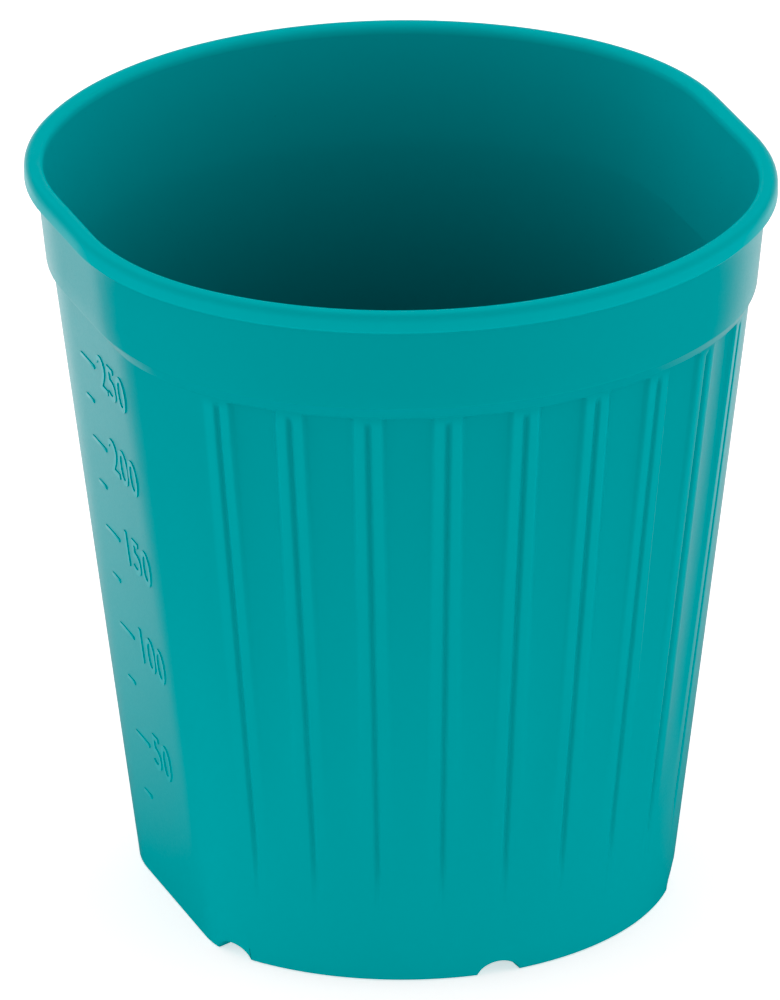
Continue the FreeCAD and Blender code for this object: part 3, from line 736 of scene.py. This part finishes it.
def soft_room(studio):
    """A pale room, darker overhead and on the camera's side, and dim where gloss shows it."""
    world = bpy.data.worlds.new("soft_room")
    world.use_nodes = True
    tree = world.node_tree
    tree.nodes.clear()
    place = add_node(tree, "ShaderNodeTexCoord", (-1500, 0))
    x, y, z = studio_directions(tree, studio, place.outputs["Generated"])
    front = ramp(tree, (-800, 100), y, -1.0, 0.1, 1.0 - studio.front_dimming, 1.0)
    top = ramp(tree, (-800, -200), z, 0.1, 0.8, 1.0, 1.0 - studio.top_dimming)
    shape = math_node(tree, "MULTIPLY", (-600, 0), front, top)
    sideways = math_node(tree, "ABSOLUTE", (-800, 300), x)
    side = ramp(tree, (-600, 300), sideways, 0.35, 1.0, 0.0, studio.side_light)
    total = math_node(tree, "ADD", (-500, 100), shape, side)
    light = math_node(tree, "MULTIPLY", (-400, 0), total, studio.room_light)
    ray = add_node(tree, "ShaderNodeLightPath", (-600, 400))
    dim = math_node(tree, "SUBTRACT", (-400, -200), 1.0, ray.outputs["Is Glossy Ray"])
    seen = math_node(tree, "MULTIPLY", (-200, 0), light, dim)
    gloss = math_node(tree, "MULTIPLY", (-200, -300), ray.outputs["Is Glossy Ray"],
                      studio.room_gloss)
    strength = math_node(tree, "ADD", (0, 0), seen, gloss)
    background = add_node(tree, "ShaderNodeBackground", (200, 0), Color=(*studio.room_colour, 1.0))
    output = add_node(tree, "ShaderNodeOutputWorld", (400, 0))
    tree.links.new(strength, background.inputs["Strength"])
    tree.links.new(background.outputs["Background"], output.inputs["Surface"])
    world.cycles.sampling_method = "NONE"
    return world


# -------------------------------------------------------------------------------------------------
# Building helpers
# -------------------------------------------------------------------------------------------------

def remove_piece(name):
    piece = bpy.data.objects.get(name)
    if piece:
        bpy.data.objects.remove(piece)


def mesh_piece(name, vertices, faces):
    """A smooth-shaded mesh object."""
    remove_piece(name)
    mesh = bpy.data.meshes.new(name)
    mesh.from_pydata(vertices, [], faces)
    mesh.validate()
    mesh.shade_smooth()
    piece = bpy.data.objects.new(name, mesh)
    bpy.context.scene.collection.objects.link(piece)
    return piece


class ShellMesh:
    """Rings of vertices round the cup's axis, joined one to the next."""

    def __init__(self):
        self.vertices = []
        self.faces = []
        self.last = None

    def ring(self, azimuths, reach, height):
        first = len(self.vertices)
        xs, ys = reach * np.cos(azimuths), reach * np.sin(azimuths)
        zs = np.broadcast_to(height, xs.shape)
        self.vertices.extend(zip(xs.tolist(), ys.tolist(), zs.tolist()))
        ring = range(first, len(self.vertices))
        if self.last is not None:
            self.join(self.last, ring)
        self.last = ring

    def join(self, low, high):
        if len(low) == len(high):
            count = len(low)
            for k in range(count):
                after = (k + 1) % count
                self.faces.append((low[k], low[after], high[after], high[k]))
            return
        many, few, turned = (low, high, False) if len(low) > len(high) else (high, low, True)
        ratio = len(many) // len(few)
        for k in range(len(few)):
            outer = [many[(k * ratio + step) % len(many)] for step in range(ratio + 1)]
            inner = [few[(k + 1) % len(few)], few[k]]
            face = outer + inner
            self.faces.append(tuple(reversed(face)) if turned else tuple(face))

    def close(self, height, at_start):
        """Fill the last ring with a fan round a middle point."""
        ring = self.last
        middle = len(self.vertices)
        self.vertices.append((0.0, 0.0, height))
        count = len(ring)
        for k in range(count):
            after = (k + 1) % count
            face = (ring[k], ring[after], middle)
            self.faces.append(tuple(reversed(face)) if at_start else face)


def build_shell(shape, ribs):
    """The whole moulding as one closed surface."""
    levels = Levels(shape)
    columns = Columns(ribs, shape, shape.base_radius)
    shell = ShellMesh()
    thin = INNER_THINNING
    foot_inside = shape.base_radius - shape.foot_width
    under_azimuths = columns.azimuths(shape.base_radius)
    base_flats = (shape.base_flat_depth, shape.base_flat_width)

    # Underside of the floor, from the middle out, then down the inside of the foot ring.
    ceiling = [(0.15, shape.foot_height), (0.45, shape.foot_height), (0.75, shape.foot_height)]
    first_reach = outline_reach(under_azimuths[::thin], foot_inside, *base_flats)
    shell.ring(under_azimuths[::thin], first_reach * ceiling[0][0], ceiling[0][1])
    shell.close(shape.foot_height, True)
    for fraction, height in ceiling[1:]:
        shell.ring(under_azimuths[::thin], first_reach * fraction, height)
    foot_path = rounded_path([
        (foot_inside - 2 * MM, shape.foot_height, 0),
        (foot_inside, shape.foot_height, shape.foot_inner_round),
        (foot_inside, 0.0, shape.foot_inner_round),
        (foot_inside + shape.foot_width / 2, 0.0, 0),
    ], FOOT_SPACING)
    lift = notch_lift(under_azimuths, shape)
    for point in foot_path:
        reach = outline_reach(under_azimuths, point.x, *base_flats)
        height = point.y + lift * np.clip(1 - point.y / shape.foot_height, 0.0, 1.0)
        shell.ring(under_azimuths, reach, height)

    # Outside, from the foot ring up to the bead and over it.
    radii, heights = levels.radii, levels.heights
    lip_corner = Vector((shape.rim_radius - shape.bead_width, shape.height))
    inner_corner = Vector((levels.radius(levels.body_top) - shape.wall, levels.body_top))
    lip_share = LIP_REACH * shape.bead_round / (lip_corner - inner_corner).y
    lip_foot = lip_corner.lerp(inner_corner, lip_share)
    outer_path = rounded_path([
        (foot_inside + shape.foot_width / 2, 0.0, 0),
        (shape.base_radius, 0.0, shape.base_round),
        (radii[1], heights[1], shape.step_root_round),
        (radii[2], heights[2], shape.step_round),
        (radii[3], heights[3], shape.bead_root_round),
        (radii[4], heights[3], shape.bead_foot_round),
        (radii[5], shape.height, shape.bead_round),
        (*lip_corner, shape.bead_round),
        (*lip_foot, 0),
    ], WALL_SPACING)
    panel_top = levels.body_top - ribs.top_gap
    extra = [panel_top - ribs.top_edge * step / 5 for step in range(6)]
    extra += [panel_top - ribs.line_gap * step / 6 for step in range(1, 9)]
    extra += [MM * step / 3 for step in range(3, 15)]
    outer_path = with_levels(outer_path, extra, levels.body_top - 0.4 * MM)
    top_index = max(range(len(outer_path)), key=lambda index: outer_path[index].y)
    rim_inner_end = next(index for index in range(top_index, len(outer_path))
                         if outer_path[index].y < shape.height - 1.2 * shape.bead_round)
    for index, point in enumerate(outer_path[1:rim_inner_end + 1], start=1):
        r, z = point
        wall_radius = levels.radius(min(z, levels.collar_top))
        azimuths = columns.azimuths(max(wall_radius, shape.base_radius))
        flats = levels.flats(z)
        reach = outline_reach(azimuths, r, *flats)
        height = z
        if z < levels.body_top and index < top_index:
            reach = reach - wall_recess(azimuths, z, wall_radius, ribs, levels)
            lift = notch_lift(azimuths, shape)
            height = z + lift * np.clip(1 - z / (2.4 * shape.notch_height), 0.0, 1.0)
        shell.ring(azimuths, reach, height)

    # Inside, from the bead down to the floor and in to the middle.
    inner_azimuths = columns.azimuths(shape.rim_radius)[::thin]
    floor_radius = levels.radius(levels.cup_floor) - shape.wall
    inner_path = rounded_path([
        tuple(outer_path[rim_inner_end]) + (0,),
        (*inner_corner, 6 * MM),
        (floor_radius, levels.cup_floor, shape.floor_round),
        (0.3 * floor_radius, levels.cup_floor, 0),
    ], INNER_SPACING)
    shell.inside_from = len(shell.faces)
    for point in inner_path[1:]:
        r, z = point
        flats = inner_flats(z, shape, levels)
        scale = min(1.0, r / floor_radius)
        reach = outline_reach(inner_azimuths, r / scale, *flats) * scale
        shell.ring(inner_azimuths, reach, z)
    shell.close(levels.cup_floor, False)
    return shell


def level_of(volume, shape, levels):
    """Height inside the cup that a volume in cubic metres fills it to."""
    azimuths = np.linspace(0.0, math.tau, 361)[:-1]
    step = 0.25 * MM
    z, filled = levels.cup_floor, 0.0
    while filled < volume:
        middle = z + step / 2
        reach = outline_reach(azimuths, levels.radius(middle) - shape.wall,
                              *inner_flats(middle, shape, levels))
        layer = float(np.mean(reach ** 2)) * math.pi * step
        if filled + layer >= volume:
            return z + step * (volume - filled) / layer
        filled += layer
        z += step
    return z


def inner_flats(z, shape, levels):
    """Depth and width of the flats inside the cup, at a height."""
    depths = (levels.flats(levels.cup_floor)[0], shape.body_flat_depth, shape.rim_flat_depth)
    widths = (levels.flats(levels.cup_floor)[1], shape.body_flat_width, shape.rim_flat_width)
    heights = (levels.cup_floor, levels.body_top, shape.height)
    return float(np.interp(z, heights, depths)), float(np.interp(z, heights, widths))


def with_levels(path, extra, highest):
    """The path with more points at the given heights, on its first rise."""
    result = []
    for first, second in zip(path, path[1:]):
        result.append(first)
        if second.y > highest + MM:
            continue
        between = sorted(z for z in set(extra) if first.y + 0.02 * MM < z < second.y - 0.02 * MM)
        for z in between:
            result.append(first.lerp(second, (z - first.y) / (second.y - first.y)))
    result.append(path[-1])
    return result


OUTSIDE, INSIDE, BEAD = range(3)        # the shell's materials
FLOOR_SECTORS = 96
FLOOR_RINGS = (0.02, 0.08, 0.3, 1.0)    # radii, as shares of the floor's


# -------------------------------------------------------------------------------------------------
# Operators
# -------------------------------------------------------------------------------------------------

class CUP_OT_camera(Operator):
    """Put the camera in front of the cup, a little to its left and above it"""

    bl_idname = "moulded_cup.camera"
    bl_label = "Camera"

    def execute(self, context):
        studio = context.scene.cup_studio
        remove_piece("cup_camera")
        data = bpy.data.cameras.new("cup_camera")
        data.lens = studio.lens
        data.sensor_width = 36.0
        data.clip_start, data.clip_end = 0.05, 60.0
        camera = bpy.data.objects.new("cup_camera", data)
        context.scene.collection.objects.link(camera)
        round_cup = Matrix.Rotation(-studio.turn, 3, "Z")
        back = round_cup @ Vector((0, -math.cos(studio.elevation), math.sin(studio.elevation)))
        aim = round_cup @ Vector((-studio.aim_side, 0, studio.aim_height))
        facing = (-back).to_track_quat("-Z", "Y").to_matrix() @ Matrix.Rotation(studio.roll, 3, "Z")
        camera.matrix_world = Matrix.Translation(aim + back * studio.distance) @ facing.to_4x4()
        context.scene.camera = camera
        return {"FINISHED"}


class CUP_OT_stage(Operator):
    """Lay the pale floor and hang the soft lights"""

    bl_idname = "moulded_cup.stage"
    bl_label = "Floor and Lights"

    def execute(self, context):
        studio = context.scene.cup_studio
        scene = context.scene
        scene.view_settings.view_transform = "Standard"
        deepen_red(scene.view_settings, studio)
        scene.world = soft_room(studio)
        count = FLOOR_SECTORS
        vertices = [(0.0, 0.0, 0.0)]
        faces = []
        for ring, part in enumerate(FLOOR_RINGS):
            for k in range(count):
                turn = math.tau * k / count
                vertices.append((part * studio.floor_radius * math.cos(turn),
                                 part * studio.floor_radius * math.sin(turn), 0.0))
                here, after = ring * count + 1 + k, ring * count + 1 + (k + 1) % count
                if ring == 0:
                    faces.append((0, here, after))
                else:
                    faces.append((here - count, here, after, after - count))
        floor = mesh_piece("studio_floor", vertices, faces)
        floor.data.materials.append(floor_material(studio))
        return {"FINISHED"}


class CUP_OT_shell(Operator):
    """Build the cup's shell with its ribs, collar, bead and notched foot ring"""

    bl_idname = "moulded_cup.shell"
    bl_label = "Cup Shell"

    def execute(self, context):
        scene = context.scene
        shell = build_shell(scene.cup_shape, scene.cup_ribs)
        piece = mesh_piece("cup_shell", shell.vertices, shell.faces)
        finish = scene.cup_finish
        levels = Levels(scene.cup_shape)
        # Outside: painted light, lighter low on the wall and darker high up, blended over up_wall's
        # heights.
        outside = (finish.lower_lit_colour, finish.deep_colour, finish.upper_shade_colour)
        # Bead: one lighter colour, painted light.
        bead = (finish.bead_lit_colour, finish.bead_lit_colour, finish.bead_lit_colour)
        # Inside: painted shade, darker towards the bottom, blended over up_inside's heights.
        inside = (finish.inner_shade_colour, finish.inner_shade_colour, finish.inner_colour)
        up_wall = (0.15 * levels.body_top, levels.body_top)
        up_inside = (0.35 * levels.body_top, levels.collar_top)
        for material in (
                plastic_material("cup_plastic_outside", finish, outside, up_wall, finish.roughness,
                                 0.5, finish.specular, highlighted=finish.crest_highlight_colour),
                plastic_material("cup_plastic_inside", finish, inside, up_inside,
                                 finish.inner_roughness, 0.35, finish.specular),
                plastic_material("cup_plastic_bead", finish, bead, up_wall, finish.roughness, 0.5,
                                 finish.bead_specular, highlighted=finish.lip_highlight_colour)):
            piece.data.materials.append(material)
        points = np.array(shell.vertices)
        # Mark where the painted highlight goes: the rib crests and the bead's top.
        highlighted = piece.data.attributes.new(HIGHLIGHTED_LAYER, "FLOAT", "POINT")
        marked = highlighted_share(points, scene.cup_shape, scene.cup_ribs, levels)
        highlighted.data.foreach_set("value", marked)
        middles = np.array([points[list(face), 2].mean() for face in shell.faces])
        on_bead = middles > levels.collar_top + 0.02 * MM
        face_materials = np.where(on_bead, BEAD, OUTSIDE).astype(np.int32)
        face_materials[shell.inside_from:] = INSIDE
        piece.data.polygons.foreach_set("material_index", face_materials)
        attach(piece, CUP_BODY)
        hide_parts(CUP_NODE)
        return {"FINISHED"}


class CUP_OT_volume_scale(Operator):
    """Raise the level marks and their numbers on the flat that faces -X"""

    bl_idname = "moulded_cup.volume_scale"
    bl_label = "Volume Scale"

    def execute(self, context):
        scene = context.scene
        shape, marks = scene.cup_shape, scene.cup_scale
        levels = Levels(shape)
        foot = Vector((shape.base_flat_depth - shape.base_radius, 0, 0))
        top = Vector((shape.body_flat_depth - levels.radius(levels.body_top), 0, levels.body_top))
        up = (top - foot).normalized()
        right = Vector((0, -1, 0))
        out = right.cross(up)
        whole = bmesh.new()
        thickness = marks.relief + marks.sunk
        for number in range(1, round(marks.largest_volume / marks.step_volume) + 1):
            volume = number * marks.step_volume
            height = level_of(volume * MILLILITRE, shape, levels)
            middle = foot + up * (height / up.z) + out * ((marks.relief - marks.sunk) / 2)
            numbered = abs(math.remainder(volume, marks.numbered_volume)) < 1e-6
            mark_length = marks.long_mark if numbered else marks.short_mark
            start = middle - right * marks.mark_start
            frame_of_mark = Matrix((right, up, out)).transposed().to_4x4()
            add_mark(whole, Matrix.Translation(start) @ frame_of_mark, mark_length,
                     marks.mark_thickness, thickness)
            if numbered:
                at = start + right * (mark_length + NUMERAL_GAP)
                add_numeral(whole, f"{volume:.0f}", Matrix.Translation(at) @ frame_of_mark,
                            marks.numeral_height, thickness)
        remove_piece("volume_scale")
        mesh = bpy.data.meshes.new("volume_scale")
        whole.to_mesh(mesh)
        whole.free()
        mesh.shade_smooth()
        mesh.set_sharp_from_angle(angle=SHARP_TURN)
        piece = bpy.data.objects.new("volume_scale", mesh)
        scene.collection.objects.link(piece)
        finish = scene.cup_finish
        # The marks take painted light low on the wall and a darker colour high up, as the wall
        # does.
        colours = (finish.relief_lit_colour, finish.relief_lit_colour, finish.relief_upper_shade_colour)
        mesh.materials.append(plastic_material("cup_plastic_relief", finish, colours,
                                               (0.15 * levels.body_top, levels.body_top),
                                               finish.relief_roughness, 0.4, finish.specular))
        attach(piece, CUP_BODY)
        return {"FINISHED"}


def add_mark(whole, place, mark_length, mark_height, thickness):
    """A level mark: a low bar with rounded ends and softened edges."""
    half = mark_height / 2
    inset = 0.12 * mark_height
    outline = []
    for step in range(MARK_END_STEPS + 1):
        turn = math.pi / 2 + math.pi * step / MARK_END_STEPS
        outline.append((half + half * math.cos(turn), half * math.sin(turn)))
    for step in range(MARK_END_STEPS + 1):
        turn = -math.pi / 2 + math.pi * step / MARK_END_STEPS
        outline.append((mark_length - half + half * math.cos(turn), half * math.sin(turn)))
    rings = []
    for share_in, height in ((0.0, -thickness / 2), (0.0, thickness / 2 - inset),
                             (0.3, thickness / 2 - 0.3 * inset), (1.0, thickness / 2)):
        ring = []
        for x, y in outline:
            toward = 1 - share_in * inset / half
            flat_x = max(half, min(mark_length - half, x))
            point = Vector((flat_x + (x - flat_x) * toward, y * toward, height))
            ring.append(whole.verts.new(place @ point))
        rings.append(ring)
    count = len(outline)
    for low, high in zip(rings, rings[1:]):
        for k in range(count):
            whole.faces.new((low[k], low[(k + 1) % count], high[(k + 1) % count], high[k]))
    whole.faces.new(rings[-1])
    whole.faces.new(list(reversed(rings[0])))


def add_numeral(whole, text, place, height, thickness):
    """A number in plain raised figures, its left end and middle height at the place given."""
    curve = bpy.data.curves.new("numeral", "FONT")
    curve.body = text
    curve.size = height / FIGURE_SHARE
    curve.align_y = "CENTER"
    curve.extrude = thickness / 2 - FIGURE_EDGE
    curve.bevel_depth = FIGURE_EDGE
    curve.bevel_resolution = 2
    curve.resolution_u = 6
    figure = bpy.data.objects.new("numeral", curve)
    bpy.context.scene.collection.objects.link(figure)
    figure_now = figure.evaluated_get(bpy.context.evaluated_depsgraph_get())
    mesh = bpy.data.meshes.new_from_object(figure_now)
    mesh.transform(place)
    whole.from_mesh(mesh)
    bpy.data.objects.remove(figure)
    bpy.data.curves.remove(curve)
    bpy.data.meshes.remove(mesh)


class CUP_PT_sidebar(Panel):
    """The cup's operators and sizes"""

    bl_idname = "CUP_PT_sidebar"
    bl_label = "Moulded Cup"
    bl_space_type = "VIEW_3D"
    bl_region_type = "UI"
    bl_category = "Moulded Cup"

    def draw(self, context):
        for operator in OPERATORS:
            self.layout.operator(operator.bl_idname)


OPERATORS = (CUP_OT_camera, CUP_OT_stage, CUP_OT_shell, CUP_OT_volume_scale)
GROUPS = {"cup_shape": CupShape, "cup_ribs": RibShape, "cup_scale": ScaleShape,
          "cup_finish": PlasticFinish, "cup_studio": StudioShape}


def register():
    for cls in (*GROUPS.values(), *OPERATORS, CUP_PT_sidebar):
        bpy.utils.register_class(cls)
    for name, group in GROUPS.items():
        setattr(bpy.types.Scene, name, PointerProperty(type=group))


def unregister():
    for name in GROUPS:
        delattr(bpy.types.Scene, name)
    for cls in reversed((*GROUPS.values(), *OPERATORS, CUP_PT_sidebar)):
        bpy.utils.unregister_class(cls)


def main():
    register()
    bpy.ops.moulded_cup.camera()
    bpy.ops.moulded_cup.stage()
    bpy.ops.moulded_cup.shell()
    bpy.ops.moulded_cup.volume_scale()


if __name__ == "__main__":
    main()
